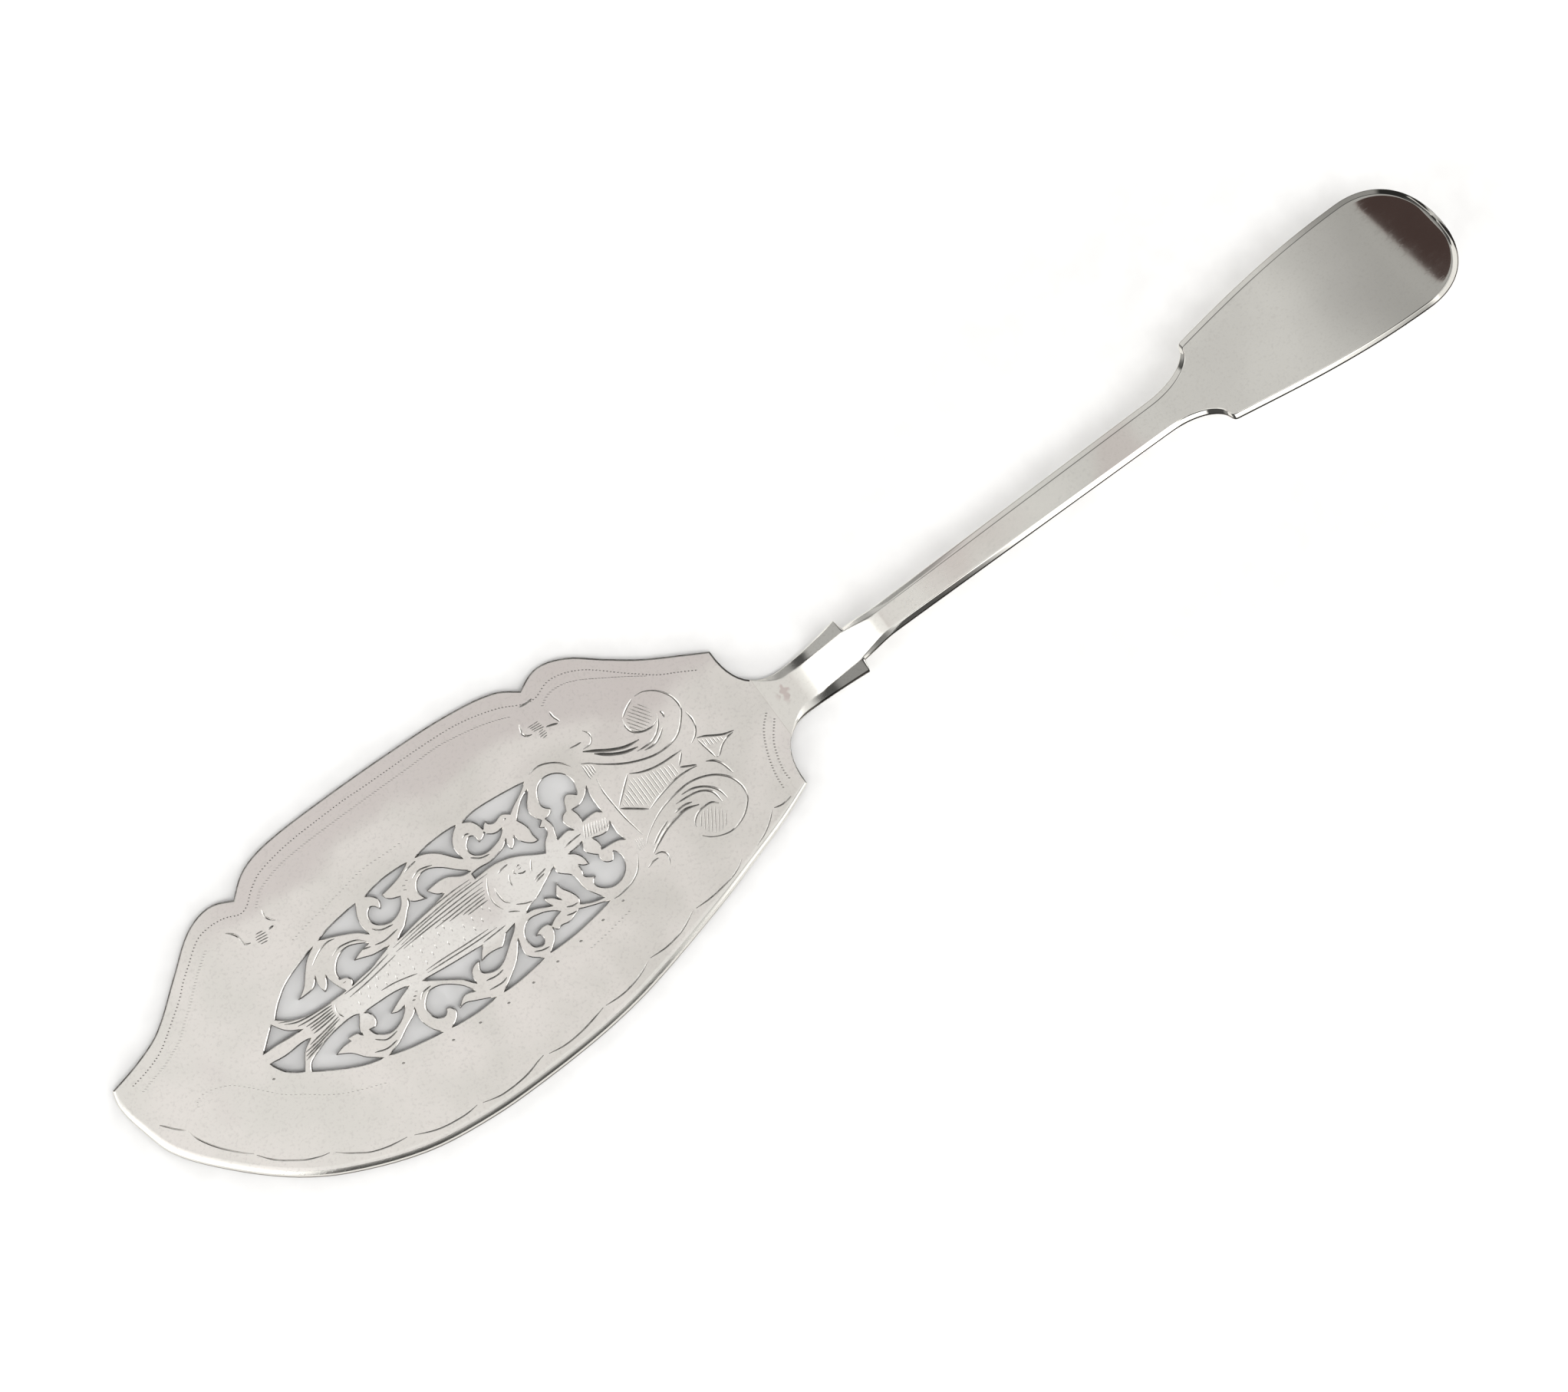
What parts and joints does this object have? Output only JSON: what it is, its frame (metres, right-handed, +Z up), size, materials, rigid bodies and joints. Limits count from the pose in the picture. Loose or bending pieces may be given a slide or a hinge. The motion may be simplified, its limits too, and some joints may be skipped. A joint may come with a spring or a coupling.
{
  "type": "fish slice",
  "caption": "Fish slice: flat pierced and engraved blade with a scalloped and a bevelled edge, soldered to a cranked fiddle-pattern handle, for cutting and serving fish.",
  "frame": {"origin": "on the blade's flat underside, on the handle's centreline, level with the blade's two heel corners", "axes": "+X along the handle towards its end, with the blade towards -X; +Y towards the scalloped edge; +Z up from the underside"},
  "size_m": [0.2994, 0.0682, 0.016],
  "materials": {
    "blade_silver": "worn satin silver with engraved lines",
    "handle_silver": "polished silver with fine wear scratches",
    "hard_solder": "dressed flush, slightly warmer than the silver"
  },
  "bodies": {
    "root": {"blade": "blade_silver", "handle": "handle_silver", "solder_seam": "hard_solder"}
  },
  "joints": []
}
